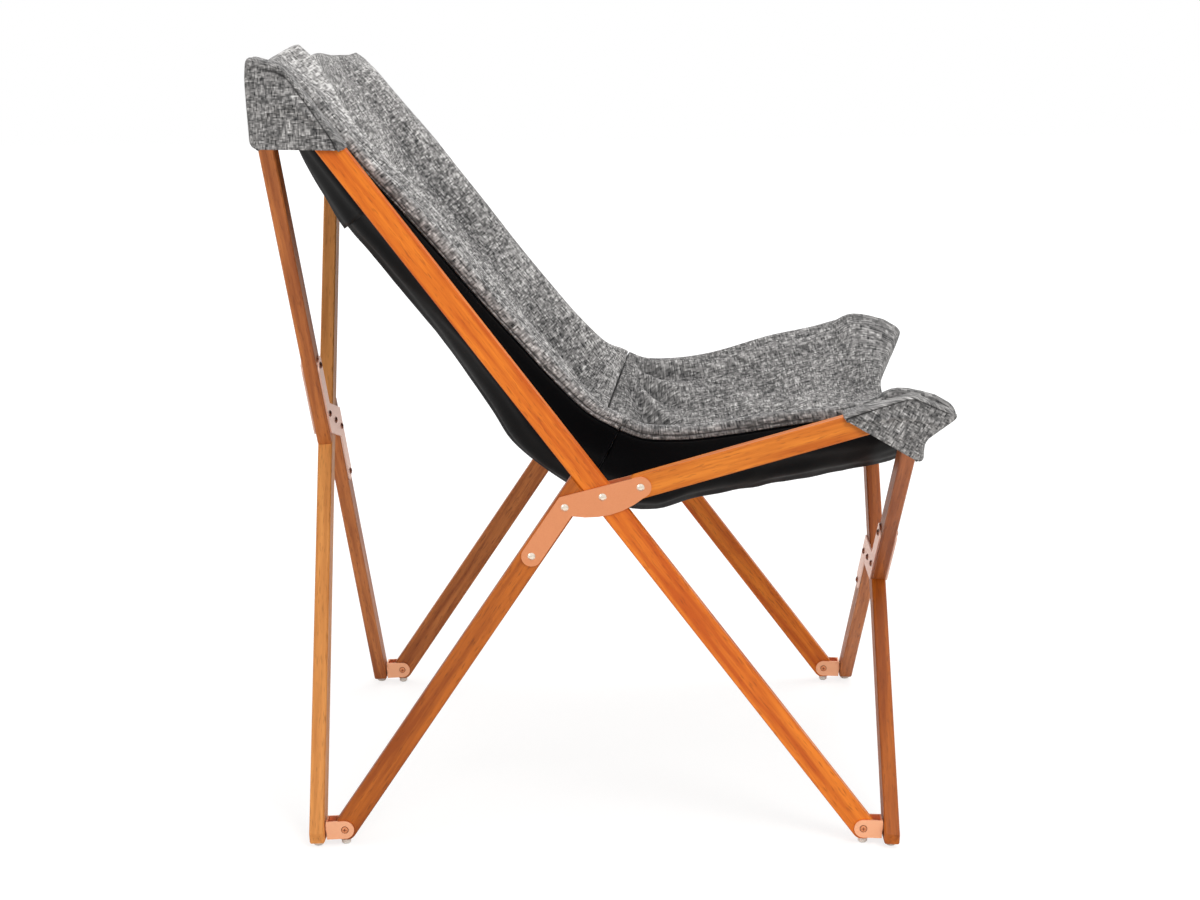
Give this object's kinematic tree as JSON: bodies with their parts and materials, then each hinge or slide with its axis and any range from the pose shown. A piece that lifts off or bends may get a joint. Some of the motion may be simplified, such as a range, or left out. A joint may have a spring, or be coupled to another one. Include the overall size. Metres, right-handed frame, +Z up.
{
  "type": "folding sling chair",
  "caption": "Folding butterfly chair: scissor side frames and crossed end frames of flat wooden bars, with a padded fabric sling hooded over the four upper corners.",
  "frame": {"origin": "on the floor under the centre of the bounding box", "axes": "+Z up, +X to the front where the sitter faces, +Y to the sitter's left"},
  "size_m": [0.8124, 0.7068, 0.931],
  "materials": {
    "light_wood": "satin varnished beech, orange brown",
    "dark_wood": "satin varnished beech, red brown",
    "copper_plate": "satin copper-coloured plate",
    "bright_steel": "bright domed rivet or screw",
    "glide_plastic": "off-white plastic",
    "grey_weave": "heathered mid-grey woven fabric, padded",
    "black_weave": "matte black woven backing"
  },
  "bodies": {
    "rear_right_foot": {"rear_right_foot_bracket": "copper_plate", "rear_right_foot_pin": "bright_steel"},
    "right_leg": {"right_leg_bar": "dark_wood", "right_outer_plate": "copper_plate", "right_inner_plate": "copper_plate", "right_leg_glide": "glide_plastic", "right_scissor_rivet": "bright_steel", "right_rail_rivet": "bright_steel"},
    "right_long_bar": {"right_long_bar": "light_wood", "right_long_glide": "glide_plastic", "back_cushion": "grey_weave", "back_lining": "black_weave", "rear_right_pocket": "grey_weave"},
    "right_rail": {"right_seat_rail": "light_wood", "seat_cushion": "grey_weave", "seat_lining": "black_weave", "front_right_pocket": "grey_weave"},
    "rear_bar": {"rear_cross_bar": "dark_wood", "rear_cross_glide": "glide_plastic", "rear_cross_rivet": "bright_steel"},
    "rear_half": {"rear_upper_half_bar": "dark_wood", "rear_lower_half_bar": "dark_wood", "rear_cross_outer_plate": "copper_plate", "rear_cross_inner_plate": "copper_plate", "rear_half_glide": "glide_plastic"},
    "rear_left_foot": {"rear_left_foot_bracket": "copper_plate", "rear_left_foot_pin": "bright_steel"},
    "left_leg": {"left_leg_bar": "dark_wood", "left_outer_plate": "copper_plate", "left_inner_plate": "copper_plate", "left_leg_glide": "glide_plastic", "left_scissor_rivet": "bright_steel", "left_rail_rivet": "bright_steel"},
    "left_long_bar": {"left_long_bar": "light_wood", "left_long_glide": "glide_plastic", "rear_left_pocket": "grey_weave"},
    "left_rail": {"left_seat_rail": "light_wood", "front_left_pocket": "grey_weave"},
    "rear_right_top_bracket": {"rear_right_top_bracket": "copper_plate", "rear_right_top_pin": "bright_steel"},
    "rear_left_top_bracket": {"rear_left_top_bracket": "copper_plate", "rear_left_top_pin": "bright_steel"},
    "front_right_foot_bracket": {"front_right_foot_bracket": "copper_plate", "front_right_foot_pin": "bright_steel"},
    "front_left_foot_bracket": {"front_left_foot_bracket": "copper_plate", "front_left_foot_pin": "bright_steel"},
    "front_right_top_bracket": {"front_right_top_bracket": "copper_plate", "front_right_top_pin": "bright_steel"},
    "front_left_top_bracket": {"front_left_top_bracket": "copper_plate", "front_left_top_pin": "bright_steel"},
    "front_bar": {"front_cross_bar": "dark_wood", "front_cross_glide": "glide_plastic", "front_cross_rivet": "bright_steel"},
    "front_half": {"front_upper_half_bar": "dark_wood", "front_lower_half_bar": "dark_wood", "front_cross_outer_plate": "copper_plate", "front_cross_inner_plate": "copper_plate", "front_half_glide": "glide_plastic"}
  },
  "joints": [
    {"name": "right_scissor_joint", "type": "hinge", "parent": "right_leg", "child": "right_long_bar", "pos_m": [-0.0033, -0.32893, 0.42469], "axis": [0, 1, 0], "range_deg": [0, 66], "deforming": ["back_cushion", "back_lining", "seat_cushion", "seat_lining", "rear_right_pocket", "rear_left_pocket", "front_right_pocket", "front_left_pocket"]},
    {"name": "right_foot_joint", "type": "hinge", "parent": "rear_right_foot", "child": "right_leg", "pos_m": [-0.31506, -0.32893, 0.02], "axis": [0, 1, 0], "range_deg": [-35.61, 0]},
    {"name": "right_rail_pivot_joint", "type": "hinge", "parent": "right_leg", "child": "right_rail", "pos_m": [0.04065, -0.32893, 0.43587], "axis": [0, 1, 0], "range_deg": [-23.24, 0]},
    {"name": "rear_foot_pivot_joint", "type": "hinge", "parent": "rear_right_foot", "child": "rear_bar", "pos_m": [-0.31506, -0.32893, 0.02], "axis": [0.999, 0, 0.0453], "range_deg": [0, 33.7]},
    {"name": "rear_crossing_joint", "type": "hinge", "parent": "rear_bar", "child": "rear_half", "pos_m": [-0.36795, 0.00107, 0.45352], "axis": [0.999, 0, 0.0453], "range_deg": [-67.39, 0]},
    {"name": "rear_left_foot_pivot_joint", "type": "hinge", "parent": "rear_half", "child": "rear_left_foot", "pos_m": [-0.31506, 0.33107, 0.02], "axis": [0.999, 0, 0.0453], "range_deg": [0, 33.7]},
    {"name": "left_foot_joint", "type": "hinge", "parent": "rear_left_foot", "child": "left_leg", "pos_m": [-0.31506, 0.33107, 0.02], "axis": [0, 1, 0], "range_deg": [-35.61, 0]},
    {"name": "left_scissor_joint", "type": "hinge", "parent": "left_leg", "child": "left_long_bar", "pos_m": [-0.0033, 0.33107, 0.42469], "axis": [0, 1, 0], "range_deg": [0, 66.02]},
    {"name": "left_rail_pivot_joint", "type": "hinge", "parent": "left_leg", "child": "left_rail", "pos_m": [0.04065, 0.33107, 0.43587], "axis": [0, 1, 0], "range_deg": [-23.24, 0]},
    {"name": "rear_right_top_joint", "type": "hinge", "parent": "right_long_bar", "child": "rear_right_top_bracket", "pos_m": [-0.35449, -0.32893, 0.89004], "axis": [0, 1, 0], "range_deg": [-30.43, 0]},
    {"name": "rear_left_top_joint", "type": "hinge", "parent": "left_long_bar", "child": "rear_left_top_bracket", "pos_m": [-0.35449, 0.33107, 0.89004], "axis": [0, 1, 0], "range_deg": [-30.43, 0]},
    {"name": "front_right_foot_joint", "type": "hinge", "parent": "right_long_bar", "child": "front_right_foot_bracket", "pos_m": [0.30212, -0.32893, 0.02], "axis": [0, 1, 0], "range_deg": [-29.51, 0]},
    {"name": "front_left_foot_joint", "type": "hinge", "parent": "left_long_bar", "child": "front_left_foot_bracket", "pos_m": [0.30212, 0.33107, 0.02], "axis": [0, 1, 0], "range_deg": [-29.51, 0]},
    {"name": "front_right_top_joint", "type": "hinge", "parent": "right_rail", "child": "front_right_top_bracket", "pos_m": [0.32354, -0.32893, 0.51592], "axis": [0, 1, 0], "range_deg": [0, 59.75]},
    {"name": "front_top_pivot_joint", "type": "hinge", "parent": "front_right_top_bracket", "child": "front_half", "pos_m": [0.32354, -0.32893, 0.51592], "axis": [0.9991, 0, -0.0432], "range_deg": [-48.48, 0]},
    {"name": "front_crossing_joint", "type": "hinge", "parent": "front_half", "child": "front_bar", "pos_m": [0.346, 0.00107, 0.26653], "axis": [0.9991, 0, -0.0432], "range_deg": [0, 96.93]},
    {"name": "front_left_top_joint", "type": "hinge", "parent": "left_rail", "child": "front_left_top_bracket", "pos_m": [0.32354, 0.33107, 0.51592], "axis": [0, 1, 0], "range_deg": [0, 59.75]}
  ],
  "couplings": [
    {"joint": "right_foot_joint", "follows": "right_scissor_joint", "ratio": -0.53929},
    {"joint": "right_rail_pivot_joint", "follows": "right_scissor_joint", "ratio": -0.35179},
    {"joint": "rear_foot_pivot_joint", "follows": "right_scissor_joint", "ratio": 0.51034},
    {"joint": "rear_crossing_joint", "follows": "right_scissor_joint", "ratio": -1.0207},
    {"joint": "rear_left_foot_pivot_joint", "follows": "right_scissor_joint", "ratio": 0.51034},
    {"joint": "left_foot_joint", "follows": "right_scissor_joint", "ratio": -0.53929},
    {"joint": "left_scissor_joint", "follows": "right_scissor_joint", "ratio": 1},
    {"joint": "left_rail_pivot_joint", "follows": "right_scissor_joint", "ratio": -0.35179},
    {"joint": "rear_right_top_joint", "follows": "right_scissor_joint", "ratio": -0.46071},
    {"joint": "rear_left_top_joint", "follows": "right_scissor_joint", "ratio": -0.46071},
    {"joint": "front_right_foot_joint", "follows": "right_scissor_joint", "ratio": -0.44683},
    {"joint": "front_left_foot_joint", "follows": "right_scissor_joint", "ratio": -0.44683},
    {"joint": "front_right_top_joint", "follows": "right_scissor_joint", "ratio": 0.90496},
    {"joint": "front_top_pivot_joint", "follows": "right_scissor_joint", "ratio": -0.73418},
    {"joint": "front_crossing_joint", "follows": "right_scissor_joint", "ratio": 1.4684},
    {"joint": "front_left_top_joint", "follows": "right_scissor_joint", "ratio": 0.90496}
  ]
}
